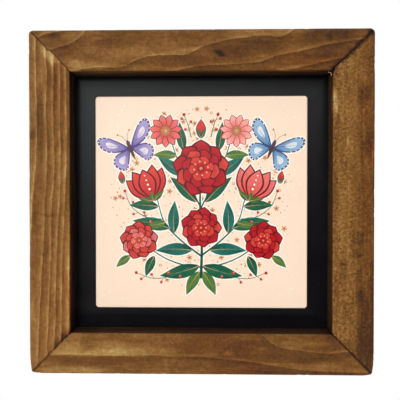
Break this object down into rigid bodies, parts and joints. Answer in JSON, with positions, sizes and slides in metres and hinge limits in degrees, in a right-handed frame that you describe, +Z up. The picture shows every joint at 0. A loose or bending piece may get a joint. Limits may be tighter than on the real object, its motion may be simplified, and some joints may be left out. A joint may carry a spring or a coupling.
{
  "type": "framed ceramic wall plaque",
  "caption": "Square glazed tile with a painted folk-style picture, set on a black board deep inside a mitred frame of stained pine, with a keyhole slot in the back to hang it by.",
  "frame": {"origin": "where the axis of the wall screw meets the wall plane, with the screw at the top of the keyhole slot in the top rail's back; the rails' backs lie in the plane y = 0", "axes": "+X to the right of a viewer who faces the plaque, +Y into the wall (the front looks along -Y), +Z up"},
  "size_m": [0.238, 0.0285, 0.238],
  "materials": {
    "stained_pine": "walnut-coloured stain with a thin satin wax over flat-sawn pine",
    "black_paint": "satin black paint on fibreboard",
    "peach_glaze": "peach glaze with a coloured picture under it, glossy"
  },
  "bodies": {
    "root": {"rail_top": "stained_pine", "rail_right": "stained_pine", "rail_bottom": "stained_pine", "rail_left": "stained_pine", "backing_board": "black_paint", "ceramic_tile": "peach_glaze"}
  },
  "joints": []
}
